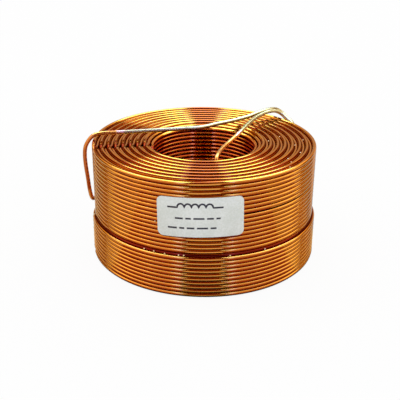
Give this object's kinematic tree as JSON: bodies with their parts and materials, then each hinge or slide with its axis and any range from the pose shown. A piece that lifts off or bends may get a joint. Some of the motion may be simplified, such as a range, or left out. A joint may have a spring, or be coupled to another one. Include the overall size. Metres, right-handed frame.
{
  "type": "air core inductor",
  "caption": "Free-standing ring coil of enamelled copper wire in nested layers, with an open bore, a bare paper label and stiff tinned wire ends.",
  "frame": {"origin": "middle of the bore at the base that the coil rests on", "axes": "+Z along the bore axis, upwards; the label faces -Y"},
  "size_m": [0.063, 0.061, 0.0336],
  "materials": {
    "enamelled_copper": "glossy amber enamel on bright copper",
    "tinned_copper": "dull bright tin",
    "label_paper": "satin"
  },
  "bodies": {
    "root": {"winding": "enamelled_copper", "label": "label_paper", "inner_lead": "tinned_copper", "outer_lead": "tinned_copper"}
  },
  "joints": []
}
